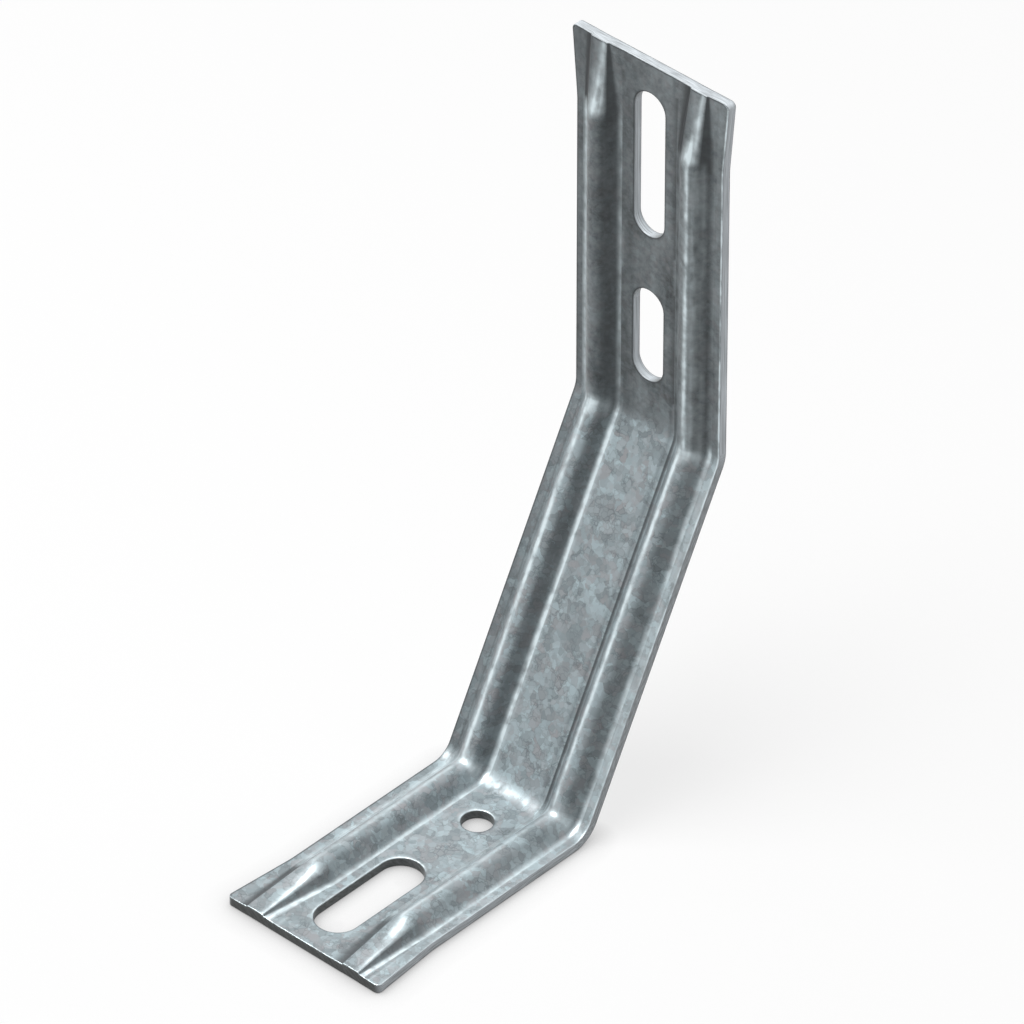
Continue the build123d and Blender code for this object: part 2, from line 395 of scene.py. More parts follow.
class RidgeShape:
    """Sizes of one ridge that follow from the sheet's sizes."""

    def __init__(self, sizes, steps):
        self.outer_foot = sizes.body_width / 2 - sizes.side_flange
        self.inner_foot = self.outer_foot - sizes.ridge_width
        self.centre = (self.outer_foot + self.inner_foot) / 2
        self.web_half = self.inner_foot - sizes.foot_strip
        round_sum = sizes.crest_round + sizes.foot_round
        drop = sizes.ridge_height - round_sum
        gap = math.hypot(sizes.ridge_width / 2, drop)
        self.flank = math.atan2(drop, sizes.ridge_width / 2) + math.asin(round_sum / gap)
        self.brow = 1 - sizes.nose / sizes.run_out
        self.foot = np.linspace(0, 1, steps.foot_columns + 1)
        self.crest = np.linspace(-1, 1, steps.crest_columns + 1)
        self.strip = np.linspace(0, 1, steps.strip_columns + 1)
        self.side = np.linspace(0, 1, steps.flank_columns + 1)[1:-1]


def ridge_line(left_x, crest_x, right_x, side_h, crest_h, bulge):
    """Across, height and bulge of a ridge's columns: up its left side, over the crest and down the right."""
    x = np.concatenate([left_x, crest_x, right_x[::-1]])
    h = np.concatenate([side_h, np.full(crest_x.shape, crest_h), side_h[::-1]])
    level = np.zeros(side_h.shape)
    return x, h, np.concatenate([level, bulge, level])


def full_line(shape, sizes, depth):
    """One ridge at full height, from the web's fold to the flange's fold, at a depth in the sheet.

    Two foot arcs and a crest arc share one flank angle. At a depth the foot arcs grow and the crest arc
    shrinks by that depth, because their centres stay. The crest's rise over its chord is given apart.
    """
    foot = sizes.foot_round + depth
    crest = sizes.crest_round - depth
    a = shape.flank * shape.foot
    b = shape.flank * shape.crest
    foot_x = foot * np.sin(a)
    foot_h = sizes.foot_round - foot * np.cos(a)
    crest_x = shape.centre + crest * np.sin(b)
    chord = sizes.ridge_height - sizes.crest_round + crest * math.cos(shape.flank)
    up_x = blend(shape.inner_foot + foot_x[-1], crest_x[0], shape.side)
    up_h = blend(foot_h[-1], chord, shape.side)
    strip_x = blend(shape.web_half, shape.inner_foot, shape.strip[:-1])
    side_x = np.concatenate([strip_x, shape.inner_foot + foot_x, up_x])
    side_h = np.concatenate([np.full(strip_x.shape, -depth), foot_h, up_h])
    bulge = crest * (np.cos(b) - math.cos(shape.flank))
    return ridge_line(side_x, crest_x, 2 * shape.centre - side_x, side_h, chord, bulge)


def end_line(shape, sizes, depth):
    """The same columns at the end of the sheet, where only a low swelling with two steps is left."""
    centre = shape.centre + sizes.swell_shift
    half = sizes.top_width / 2
    step = half + sizes.swell_step
    foot = step + sizes.foot_strip
    pressed = float(depth == 0)
    rise = pressed * sizes.fold_rise
    top = pressed * sizes.swell_height
    left_x, right_x = (
        np.concatenate([
            blend(fold, centre + sign * foot, shape.strip[:-1]),
            centre + sign * blend(foot, step, shape.foot),
            centre + sign * blend(step, half, shape.side),
        ])
        for sign, fold in ((-1, shape.web_half), (1, shape.outer_foot + sizes.swell_shift))
    )
    side_h = np.concatenate([
        rise * shape.strip[:-1],
        np.full(shape.foot.shape, rise),
        blend(rise, top, shape.side),
    ])
    crest_x = centre + half * shape.crest
    crown = pressed * sizes.top_crown * (1 - shape.crest**2)
    return ridge_line(left_x, crest_x, right_x, side_h - depth, top - depth, crown)


def run_share(s, course, sizes):
    """0 at either end of the sheet, 1 along the full ridge, with a parabola at the nose.

    The share is the length from the nearer end over the run-out, and from half a nose blend before the
    ridge it bends evenly over to level.
    """
    reach = np.minimum(s, course.total - s)
    half = sizes.nose_blend / 2
    past = np.clip(reach - (sizes.run_out - half), 0, 2 * half)
    share = np.minimum(reach, sizes.run_out - half) + past - past**2 / (4 * half)
    return share / sizes.run_out


def half_width(s, course, sizes):
    """Half the width of the inner face's flat outline: it flares over the run-outs and rounds at the corners.

    Near a corner the width falls by r minus the root of r squared less the square of what is left to r.
    """
    inset = sizes.front_round
    share = run_share(s, course, sizes)
    width = sizes.body_width / 2 + sizes.end_flare * (1 - share) - inset
    inner_round = sizes.corner_round - inset
    reach = np.minimum(s, course.total - s)
    left = np.clip(sizes.corner_round - reach, 0, inner_round)
    return width - (inner_round - np.sqrt(inner_round**2 - left**2))


def sheet_rows(s, depth, course, shape, sizes, steps):
    """Across and height of every column of every row: web, then a ridge and a flange on both sides.

    A row is a share of the way from the end's line to the full line. On the inner face the crest's rise
    over its chord comes only along the nose: below it the top stays flat, with a crown that doubles.
    """
    share = run_share(s, course, sizes)[:, None]
    full_x, full_h, full_bulge = full_line(shape, sizes, depth)
    end_x, end_h, end_bulge = end_line(shape, sizes, depth)
    ridge_x = blend(end_x, full_x, share)
    ridge_h = blend(end_h, full_h, share)
    brow = shape.brow if depth == 0 else 0.0
    rounding = np.clip((share - brow) / (1 - brow), 0, 1)
    flat = end_bulge * (1 + np.minimum(share / max(brow, 0.01), 1))
    ridge_h = ridge_h + blend(flat, full_bulge, rounding)
    outer = ridge_x[:, -1:]
    width = half_width(s, course, sizes)[:, None]
    rim = width - 1.5 * sizes.front_round
    t = np.linspace(0, 1, steps.flange_columns + 1)[1:]
    flange_x = joined(blend(outer, rim, t), width)
    flange_h = np.full(flange_x.shape, -depth)
    web_x = np.linspace(-shape.web_half, shape.web_half, steps.web_columns + 1)[1:-1]
    web_x = np.broadcast_to(web_x, (len(s), len(web_x)))
    web_h = np.full(web_x.shape, -depth)
    wing_x = joined(ridge_x, flange_x)
    wing_h = joined(ridge_h, flange_h)
    return joined(-wing_x[:, ::-1], web_x, wing_x), joined(wing_h[:, ::-1], web_h, wing_h)


def bell(value, centre, width):
    """A smooth bump of height 1: e to the minus square of the distance over the width."""
    return np.exp(-((value - centre) / width) ** 2)


class RowPlaces:
    """What the marks need of every mesh row: its legs, its place on a run-out and its nearness to a bend."""

    def __init__(self, s, course, sizes):
        lower, upper = course.heading(s)
        turned = lower / course.lower_turn
        raised = upper / course.upper_turn
        reach = np.minimum(s, course.total - s)[:, None]
        self.reach = reach
        self.legs = np.stack([1 - turned, turned - raised, raised], axis=1)
        self.upper = raised[:, None]
        self.share = run_share(s, course, sizes)[:, None]
        self.run = np.clip(10 * (1 - self.share), 0, 1)
        self.full = 1 - self.run
        self.shade = np.clip(1 + 4 * (sizes.run_out - reach) / sizes.run_out, 0, 1)
        corner = (course.bend_start + course.bend_end) / 2
        kink = (course.kink_start + course.kink_end) / 2
        self.corner = bell(s, corner, 0.3 * course.lower_arc)[:, None]
        self.kink = bell(s, kink, 0.8 * course.upper_arc)[:, None]

    def of(self, values):
        """The value of each row, from three for the legs."""
        return (self.legs @ np.array(values))[:, None]

    def at_end(self, values):
        """The value of each row, from two for the ends."""
        return blend(values[0], values[1], self.upper)


def ridge_highlight(rows, shape, marks, crest, foot, near_side, band):
    """Painted highlight of one ridge, for every row, from its left side to its right.

    Along the legs a highlight line is painted on the crest and one along the right foot, with painted
    highlight on the left flank, a band beside the crest line and spots at the bends. On a run-out the line
    starts at the flat top's right border, widens and moves in towards the nose.
    """
    strip = shape.strip[None, -2::-1]
    arc = shape.foot[None, ::-1]
    side = 0 * shape.side[None, :]
    top = shape.crest[None, :]
    spot = marks.corner_spot * rows.corner**0.3 + marks.kink_spot * rows.kink
    line = rows.of(crest) * bell(top, rows.of(marks.crest_place), LINE_WIDTH)
    along = rows.share**1.5
    place = blend(rows.at_end(marks.ramp_start), rows.at_end(marks.ramp_place), along)
    ramp = bell(top, place, blend(START_WIDTH, rows.at_end(marks.ramp_width), along))
    ramp = rows.at_end(marks.ramp) * blend(0.5, 1.0, along) * ramp
    foot_line = np.maximum(blend(rows.of(foot), rows.at_end(marks.ramp_foot), rows.run), spot)
    fold_line = 0.3 * rows.at_end(marks.ramp_foot) * rows.run * bell(strip, 0.0, FOLD_WIDTH)
    flank = rows.of(near_side) * rows.full
    beside = rows.of(band) * rows.full
    middle = np.maximum(blend(line, ramp, rows.run), spot * bell(top, -0.05, 1.2))
    return joined(
        0.6 * flank + 0 * strip,
        flank + 0 * arc,
        flank + side,
        np.maximum(middle, beside * bell(top, 0.8, 0.6)),
        np.maximum(0.3 * spot, 0.6 * beside) + side,
        foot_line * bell(arc, 0.0, FOOT_WIDTH),
        foot_line * bell(1 - strip, 0.25, blend(0.7, FOLD_WIDTH, rows.run)) + fold_line,
    )


def ridge_shade(rows, shape, marks, near, far, beside):
    """Painted shade of one ridge: its left foot and flank, and its right flank, more so on the run-outs."""
    strip = shape.strip[None, :-1]
    arc = shape.foot[None, :]
    side = 0 * shape.side[None, :]
    top = shape.crest[None, :]
    near = rows.of(near)
    far = rows.of(far)
    fold = rows.at_end(marks.groove) * rows.run
    groove = rows.at_end(marks.groove) * rows.shade**2
    shade = np.maximum(far, rows.at_end(marks.ramp_shade) * rows.shade)
    left_top = np.clip(-1.4 * top - 0.4, 0, 1)
    right_top = np.clip(2 * top - 1, 0, 1)
    middle = np.maximum(0.35 * near, rows.at_end(marks.ramp_left) * rows.run) * left_top
    return joined(
        np.maximum(np.maximum(near, groove) * bell(strip, 1, FOOT_WIDTH), beside),
        np.maximum(near * bell(arc, 0.1, FOOT_WIDTH), np.maximum(groove, beside)),
        np.maximum(0.45 * near, 0.9 * fold) + side,
        middle + 0.8 * far * right_top * rows.full,
        shade + side,
        shade * bell(arc[:, ::-1], 1, 0.9),
        0 * rows.share + 0 * strip,
    )


def web_shade(place, raised, near, left):
    """Painted shade of the web, darker beside the right ridge and, on the upper leg, in its left part.

    Place runs from -1 at the web's left border to 1 at its right.
    """
    return np.maximum(left * raised * bell(place, -1, 0.5), 0.75 * near * bell(place, 1, 0.14))


def sheet_marks(s, course, shape, sizes, steps, marks):
    """Painted highlight, painted shade and calm of every row and column of the inner face."""
    rows = RowPlaces(s, course, sizes)
    flange = np.zeros((1, steps.flange_columns + 1))
    last = np.arange(flange.size)[None, :] == flange.size - 1
    across = np.linspace(0, 1, steps.web_columns + 1)[None, 1:-1]
    spot = marks.corner_spot * rows.corner + marks.kink_spot * rows.kink
    # Painted highlights: lines on the crests, feet and flanks and on the run-outs, spots at the bends, a band
    # across the web in the lower bend, and a light line along the right border.
    rub = joined(
        0.35 * marks.corner_spot * rows.corner + flange,
        ridge_highlight(rows, shape, marks, marks.left_crest, marks.left_foot, marks.left_side, (0, 0, 0)),
        rows.corner * (marks.web_band * blend(1.0, 0.8, across) + 0.55 * bell(across, 0, 0.12)),
        ridge_highlight(
            rows, shape, marks, marks.right_crest, marks.right_foot, marks.right_side, marks.right_band
        ),
        np.maximum(rows.of(marks.right_flange), 0.2 * spot**0.5) + rows.of(marks.right_border) * last,
    )
    # Painted shade: folds, flanks, the run-outs' grooves, the left flange and the web beside the right ridge,
    # and a dark line along the left border.
    dull = joined(
        np.maximum(rows.of(marks.left_flange) + flange, marks.left_border * last[:, ::-1]),
        ridge_shade(rows, shape, marks, marks.left_near, marks.left_far, rows.of(marks.left_flange)),
        web_shade(2 * across - 1, rows.upper, rows.of(marks.right_near), marks.web_left),
        ridge_shade(rows, shape, marks, marks.right_near, marks.right_far, 0.0),
        0 * rows.share + flange,
    )
    # Painted shade: a dark line along the upper end.
    rim = marks.top_rim * rows.upper * bell(rows.reach, sizes.front_round, 0.8 * sizes.front_round)
    calm = np.broadcast_to(rows.of(marks.calm), rub.shape)
    return np.clip(rub, 0, 1), np.clip(np.maximum(dull, rim), 0, 1), calm


def grid_faces(index, flip):
    """Quads between neighbouring rows and columns of an index grid."""
    a = index[:-1, :-1]
    b = index[:-1, 1:]
    c = index[1:, 1:]
    d = index[1:, :-1]
    quads = np.stack([a, d, c, b] if flip else [a, b, c, d], axis=-1)
    return quads.reshape(-1, 4)


MARKS = ("rub", "dull", "calm", "cut", "pale", "depth")


class Shell:
    """Collects grids of points and the quads between them, with a value of every mark at every point."""

    def __init__(self):
        self.points = []
        self.quads = []
        self.marks = {name: [] for name in MARKS}
        self.total = 0

    def add(self, points, flip=False, closed=False, keep=None, **marks):
        """A grid of points of shape (rows, columns, 3), closed along its columns where asked."""
        rows, columns = points.shape[:2]
        index = self.total + np.arange(rows * columns).reshape(rows, columns)
        self.points.append(points.reshape(-1, 3))
        for label in MARKS:
            self.marks[label].append(np.broadcast_to(marks.get(label, 0.0), (rows, columns)).reshape(-1))
        self.total += rows * columns
        if closed:
            index = joined(index, index[:, :1])
        quads = grid_faces(index, flip)
        if keep is not None:
            quads = quads[keep.reshape(-1)]
        self.quads.append(quads)

    def build(self, name):
        """Welds equal points, within a hundredth of a micron, into one mesh."""
        points = np.concatenate(self.points)
        quads = np.concatenate(self.quads)
        keys = np.round(points / WELD_GRID).astype(np.int64)
        found, first, where = np.unique(keys, axis=0, return_index=True, return_inverse=True)
        quads = where.reshape(-1)[quads]
        mesh = bpy.data.meshes.new(name)
        mesh.from_pydata(points[first], [], quads.tolist())
        for label, values in self.marks.items():
            layer = mesh.attributes.new(label, "FLOAT", "POINT")
            layer.data.foreach_set("value", np.concatenate(values)[first].astype(np.float32))
        mesh.validate()
        mesh.shade_smooth()
        return mesh


def arris_steps(sizes, steps):
    """Depth and outward reach of the rings over a cut edge, from the inner face to the outer face.

    Both arrises are quarter circles: reach is r sin a, and depth is r (1 - cos a).
    """
    front = sizes.front_round
    back = sizes.back_round
    a = np.linspace(0, math.pi / 2, steps.round_rings + 1)
    b = a[::-1]
    reach = np.concatenate([front * np.sin(a), [front, front], front - back + back * np.sin(b), [0]])
    near = front * (1 - np.cos(a))
    far = sizes.sheet - back * (1 - np.cos(b))
    depth = np.concatenate([near, [0.35 * sizes.sheet, 0.7 * sizes.sheet], far, [sizes.sheet]])
    return reach, depth


def rim_brightness(outward, shine):
    """Share of painted highlight on an arris of the inner face: 1 where it faces right or forward, and 0
    where it faces left, back or up.
    """
    return shine * np.clip(1.2 * outward[:, 0] - outward[:, 1] + 0.3, 0, 1) * (outward[:, 2] < 0.5)


def add_cut_edge(shell, front, back, outward, sizes, steps, pale, shine, calm, flip):
    """Rings from a loop on the inner face over the cut edge to the same loop on the outer face.

    The arris on the inner face gets a painted highlight where it faces right or forward, and painted shade
    elsewhere.
    """
    reach, depth = arris_steps(sizes, steps)
    share = (depth / sizes.sheet)[:, None]
    bright = rim_brightness(outward, shine)
    rings = blend(front[None], back[None], share[:, :, None]) + reach[:, None, None] * outward[None]
    cut = np.clip(reach / sizes.front_round, 0, 1)[:, None]
    near = RIM_SHARE * (share < 0.25) * bell(cut, 0.4, 0.4)
    rub = near * bright
    dull = near * (1 - bright)
    shell.add(
        rings, rub=rub, dull=dull, cut=cut**3, pale=pale, depth=share, calm=calm, flip=flip, closed=True
    )


def outline_loop(grid):
    """The border points of a grid: first row, last column, then last row and first column backwards."""
    return np.concatenate([grid[0, :-1], grid[:-1, -1], grid[-1, :0:-1], grid[:0:-1, 0]])


def add_opening(shell, course, sizes, steps, marks, x, s, keep, margin, centre, half_span, radius):
    """A slot or round hole in the flat web, and its rings out to the mesh rows around it.

    Beside the straight stretch each point of the block's outline goes straight in to the slot's side.
    Past it, the point goes in along its own radius to the end arc.
    """
    reach = half_span + radius + margin
    first = np.searchsorted(s, centre - reach) - 1
    last = np.searchsorted(s, centre + reach)
    left = x.shape[1] // 2 - steps.web_columns // 2
    right = left + steps.web_columns
    keep[first:last, left:right] = False
    block = (slice(first, last + 1), slice(left, right + 1))
    loop_x = outline_loop(x[block])
    loop_s = outline_loop(np.broadcast_to(s[:, None], x.shape)[block])
    along = loop_s - centre
    arc_centre = np.clip(along, -half_span, half_span)
    ray_s = along - arc_centre
    size = np.hypot(loop_x, ray_s)
    normal_x = loop_x / size
    normal_s = ray_s / size
    rim = radius + sizes.front_round
    spread = np.linspace(0, 1, steps.plate_rings + 1)[:, None] ** RING_SPREAD
    ring_x = blend(rim * normal_x, loop_x, spread)
    ring_s = blend(centre + arc_centre + rim * normal_s, loop_s, spread)
    raised = course.heading(ring_s)[1] / course.upper_turn
    calm = blend(marks.calm[0], marks.calm[2], raised)
    inward = -normal_x[:, None] * ACROSS - normal_s[:, None] * course.along(ring_s[0])
    shine = 1 - raised[0]
    bright = rim_brightness(inward, shine)
    near = bell(np.arange(len(ring_x)), 0, RIM_RINGS)[:, None]
    # Painted highlight on the rim's arris where it faces right or forward, and painted shade where it faces
    # away, joined to the web's painted shade round the opening.
    rub = RIM_SHARE * near * bright
    beside = blend(marks.right_near[0], marks.right_near[2], raised)
    rim_shade = blend(0.45, RIM_SHARE, raised) * near**2 * (1 - bright)
    dull = np.maximum(rim_shade, web_shade(ring_x / loop_x.max(), raised, beside, marks.web_left))
    front = course.place(ring_x, 0.0, ring_s)
    back = course.place(ring_x, -sizes.sheet, ring_s)
    shell.add(front, rub=rub, dull=dull, calm=calm, flip=True, closed=True)
    shell.add(back, calm=calm, closed=True)
    # Painted light: on the upper leg the walls facing right or up take the lit cut colour and the rest the
    # shaded one; on the lower leg nearly all take the shaded one.
    pale = blend(0.1, np.clip(inward[:, 0] + inward[:, 2], 0, 1), raised[0])
    add_cut_edge(shell, front[0], back[0], inward, sizes, steps, pale, shine, calm[:1], flip=False)


def sheet_mesh(sizes, openings, steps, marks):
    """The whole sheet as one closed mesh: both faces, the cut edge all round and four openings."""
    course = Course(sizes)
    shape = RidgeShape(sizes, steps)
    s = row_places(course, sizes, steps)
    front_x, front_h = sheet_rows(s, 0.0, course, shape, sizes, steps)
    back_x, back_h = sheet_rows(s, sizes.sheet, course, shape, sizes, steps)
    shell = Shell()
    keep = np.ones((len(s) - 1, front_x.shape[1] - 1), dtype=bool)
    upper_width = openings.upper_width
    lower_mid = openings.lower_from_end + openings.lower_span / 2
    long_mid = course.total - openings.long_from_end - openings.long_span / 2
    bridge = openings.long_from_end + openings.long_span + upper_width + openings.slot_bridge
    short_mid = course.total - bridge - openings.short_span / 2
    places = (
        (openings.hole_from_end, 0.0, openings.screw_hole / 2),
        (lower_mid, openings.lower_span / 2, openings.lower_width / 2),
        (long_mid, openings.long_span / 2, upper_width / 2),
        (short_mid, openings.short_span / 2, upper_width / 2),
    )
    for place in places:
        add_opening(shell, course, sizes, steps, marks, front_x, s, keep, openings.margin, *place)
    front = course.place(front_x, front_h, s[:, None])
    back = course.place(back_x, back_h, s[:, None])
    rub, dull, calm = sheet_marks(s, course, shape, sizes, steps, marks)
    shell.add(front, rub=rub, dull=dull, calm=calm, keep=keep)
    shell.add(back, calm=calm, flip=True, keep=keep)
    add_border(shell, course, sizes, steps, marks, s, front, back, calm)
    return shell.build("pressed_sheet")


def add_border(shell, course, sizes, steps, marks, s, front, back, calm):
    """The cut edge round the whole outline, outward along its normal in the plane of the sheet."""
    inner_round = sizes.corner_round - sizes.front_round
    reach = np.minimum(s, course.total - s)
    lean = np.clip((sizes.corner_round - reach) / inner_round, 0, 1)
    toward = np.where(s < course.total / 2, -lean, lean)
    sideways = np.sqrt(1 - lean**2)
    columns = front.shape[1]
    along = course.along(s)
    right, left = (way[:, None] * ACROSS + toward[:, None] * along for way in (sideways, -sideways))
    low, high = (np.tile(end, (columns - 1, 1)) for end in (-along[0], along[-1]))
    outward = np.concatenate([low, right[:-1], high, left[:0:-1]])
    loop_s = outline_loop(np.broadcast_to(s[:, None], front.shape[:2]))
    sides = RowPlaces(loop_s, course, sizes).of(marks.side_pale)[:, 0]
    # Painted light: the side edges and the upper end take the lit cut colour, the lower end the shaded one.
    pale = np.clip(sides * abs(outward[:, 0]) + marks.top_pale * outward[:, 2], 0, 1)
    front, back, calm = (outline_loop(grid) for grid in (front, back, calm))
    add_cut_edge(shell, front, back, outward, sizes, steps, pale, 1.0, calm, flip=True)


def new_group(name, inputs, outputs):
    """An empty shader node group with named sockets, each given as (name, kind, default)."""
    group = bpy.data.node_groups.new(name, "ShaderNodeTree")
    for label, kind, default in inputs:
        socket = group.interface.new_socket(name=label, in_out="INPUT", socket_type=kind)
        socket.default_value = default
    for label, kind in outputs:
        group.interface.new_socket(name=label, in_out="OUTPUT", socket_type=kind)
    return group, group.nodes.new("NodeGroupInput"), group.nodes.new("NodeGroupOutput")


def fill(node, inputs):
    """Sets a node's inputs, by name or place, to numbers, colours, sockets or values."""
    for key, value in inputs.items():
        socket = node.inputs[key]
        if isinstance(value, Value):
            value = value.socket
        if isinstance(value, bpy.types.NodeSocket):
            socket.id_data.links.new(value, socket)
        elif socket.type == "RGBA":
            socket.default_value = (*value, 1.0)
        else:
            socket.default_value = value


def add_node(tree, kind, inputs=None, **settings):
    """A shader node with its settings and its inputs."""
    node = tree.nodes.new("ShaderNode" + kind)
    for label, value in settings.items():
        setattr(node, label, value)
    fill(node, inputs or {})
    return node


class Value:
    """A number in a node tree. Its sums, differences and products are maths nodes."""

    def __init__(self, socket):
        self.socket = socket

    def math(self, operation, a, b):
        """A maths node with a and b, in the tree of this value."""
        return Value(add_node(self.socket.id_data, "Math", {0: a, 1: b}, operation=operation).outputs[0])

    def __add__(self, other):
        return self.math("ADD", self, other)

    def __sub__(self, other):
        return self.math("SUBTRACT", self, other)

    def __rsub__(self, other):
        return self.math("SUBTRACT", other, self)

    def __mul__(self, other):
        return self.math("MULTIPLY", self, other)

    def least(self, other):
        return self.math("MINIMUM", self, other)

    def most(self, other):
        return self.math("MAXIMUM", self, other)

    def clamped(self):
        """The same value, kept between 0 and 1 by its own maths node."""
        self.socket.node.use_clamp = True
        return self


def mix_colour(tree, factor, a, b, mode="MIX"):
    """A colour at a share of the way from a to b."""
    return add_node(tree, "Mix", {0: factor, 6: a, 7: b}, data_type="RGBA", blend_type=mode).outputs[2]


def shaded(tree, colour, light):
    """A colour times a number."""
    return mix_colour(tree, 1.0, colour, light, mode="MULTIPLY")


def mix_value(tree, factor, a, b):
    """A number at a share of the way from a to b."""
    return Value(add_node(tree, "Mix", {0: factor, 2: a, 3: b}).outputs[0])


def vector_math(tree, operation, a, b, output=0):
    """What comes out of a maths node for vectors: its vector, or its number as output 1."""
    return add_node(tree, "VectorMath", {0: a, 1: b}, operation=operation).outputs[output]


def mark_value(tree, name):
    """The value of one of the mesh's marks."""
    return Value(add_node(tree, "Attribute", attribute_name=name).outputs["Fac"])


def noise(tree, vector, scale, detail):
    """The value of a noise pattern, with one scale or one for each axis."""
    if isinstance(scale, tuple):
        vector = vector_math(tree, "MULTIPLY", vector, scale)
        scale = 1.0
    node = add_node(tree, "TexNoise", {"Vector": vector, "Scale": scale, "Detail": detail})
    return Value(node.outputs["Fac"])


def flake_group():
    """Zinc flakes: one random tone for each irregular cell, with ragged borders."""
    group, into, out = new_group(
        "zinc_flakes",
        [("Vector", "NodeSocketVector", (0, 0, 0)), ("Size", "NodeSocketFloat", 0.003)],
        [("Tone", "NodeSocketFloat"), ("Stain", "NodeSocketFloat"), ("Border", "NodeSocketFloat")],
    )
    vector = into.outputs["Vector"]
    size = Value(into.outputs["Size"])
    scale = size.math("DIVIDE", 1.0, size)
    ragged = add_node(group, "TexNoise", {"Vector": vector, "Scale": scale * RAGGED_SCALE, "Detail": 3.0})
    centred = vector_math(group, "SUBTRACT", ragged.outputs["Color"], (0.5, 0.5, 0.5))
    push = {0: centred, "Scale": size * RAGGED_PUSH}
    pushed = add_node(group, "VectorMath", push, operation="SCALE").outputs[0]
    places = {"Vector": vector_math(group, "ADD", vector, pushed), "Scale": scale}
    cells = add_node(group, "TexVoronoi", places, feature="F1")
    edge = add_node(group, "TexVoronoi", places, feature="DISTANCE_TO_EDGE")
    tone = add_node(group, "SeparateColor", {0: cells.outputs["Color"]})
    border = (Value(edge.outputs["Distance"]) * BORDER_SHARPNESS).clamped()
    fill(out, {"Tone": tone.outputs[0], "Stain": tone.outputs[1], "Border": border})
    return group


def new_material(name):
    """A material, its node tree and its Principled shader."""
    material = bpy.data.materials.new(name)
    material.use_nodes = True
    tree = material.node_tree
    return material, tree, tree.nodes["Principled BSDF"]


def flakes(tree, group, where, size):
    """Tone, stain and border of the flakes of one size."""
    node = add_node(tree, "Group", {"Vector": where, "Size": size}, node_tree=group)
    return [Value(socket) for socket in node.outputs]


def cut_colour(tree, finish, where, pale):
    """Cut faces: a shaded colour with streaks through the sheet, as on punched walls, and a lit colour with
    lines along it, as on sheared edges, mixed by the pale mark, which mostly follows how each face is turned.

    Both darken at the outer arris, a line of painted shade.
    """
    depth = mark_value(tree, "depth")
    total = Value(vector_math(tree, "DOT_PRODUCT", where, (1.0, 1.0, 1.0), output=1))
    through = depth * mix_value(tree, pale, WALL_WAVES[0], EDGE_WAVES[0])
    along = total * mix_value(tree, pale, WALL_WAVES[1], EDGE_WAVES[1])
    place = add_node(tree, "CombineXYZ", {0: through, 1: along})
    streak = noise(tree, place.outputs[0], 1.0, 2.0)
    # Painted shade: a dark line along the outer arris of the cut faces.
    outer = ((depth - 0.85) * 8.0).clamped()
    light = (streak * 1.8 + 0.2) * (1.0 - outer * 0.7)
    return shaded(tree, mix_colour(tree, pale, finish.shaded_cut, finish.lit_cut), light)


def zinc_material(finish):
    """Hot-dip zinc: two sizes of flake, stains, calm parts, painted highlight lines where it is also
    glossier, painted shade in folds and on flanks, and cut edges in lit and shaded colours.
    """
    material, tree, shader = new_material("zinc_sheet")
    where = add_node(tree, "TexCoord").outputs["Object"]
    rub, dull, calm, cut, pale = (mark_value(tree, name) for name in ("rub", "dull", "calm", "cut", "pale"))
    group = flake_group()
    large_tone, large_stain, large_border = flakes(tree, group, where, finish.flake_size)
    small_tone, small_stain, small_border = flakes(tree, group, where, finish.fleck_size)
    cloud = noise(tree, where, CLOUD_SCALE, 4.0)
    large, small, clouds = TONE_SHARES
    tone = (large_tone * large + small_tone * small + cloud * clouds - clouds / 2).clamped()
    ramp = add_node(tree, "ValToRGB", {0: tone})
    elements = ramp.color_ramp.elements
    elements.new(TONE_PLACES[1])
    tones = (finish.dark_flake, finish.zinc, finish.light_flake)
    for element, place, colour in zip(elements, TONE_PLACES, tones):
        element.position = place
        element.color = (*colour, 1)
    flaked = mix_colour(tree, large_stain * small_stain, ramp.outputs[0], finish.warm_flake)
    cracked = ((noise(tree, where, CRACK_SCALE, 2.0) - 0.38) * 1.2).clamped()
    flaked = shaded(tree, flaked, 1.0 - (1.0 - large_border.least(small_border)) * cracked)
    veil = noise(tree, where, VEIL_SCALE, 4.0) * 2.6 + cloud * 1.6
    veil = veil + (noise(tree, where, FINE_SCALE, 3.0) * 1.8 - 2.0)
    plain = mix_colour(tree, calm, flaked, shaded(tree, finish.calm_zinc, veil))
    # Painted shade: darker zinc in folds, on flanks and along borders.
    shaded_zinc = mix_colour(tree, dull, plain, finish.painted_shade_colour)
    # Painted highlight: where the highlight mark lies, broken up by patches, the colour turns to the highlit
    # zinc and the zinc grows glossier.
    patches = noise(tree, where, STREAK_SCALE, 3.0) + noise(tree, where, PATCH_SCALE, 2.0)
    highlight_share = (rub * (patches * 2.4 - 1.4)).clamped()
    highlit = mix_colour(tree, highlight_share, shaded_zinc, finish.highlit)
    shiny = highlight_share.most(pale * cut * 0.4)
    height = large_tone * 0.5 + noise(tree, where, GRAIN_SCALE, 3.0) * 0.5
    bump = add_node(tree, "Bump", {"Strength": 0.25, "Distance": BUMP_HEIGHT, "Height": height})
    fill(shader, {
        "Base Color": mix_colour(tree, cut, highlit, cut_colour(tree, finish, where, pale)),
        "Metallic": mix_value(tree, shiny, finish.gloss, finish.shiny_gloss),
        "Roughness": mix_value(tree, shiny, finish.roughness, finish.shiny_roughness),
        "Specular IOR Level": 0.3,
        "Normal": bump.outputs[0],
    })
    return material


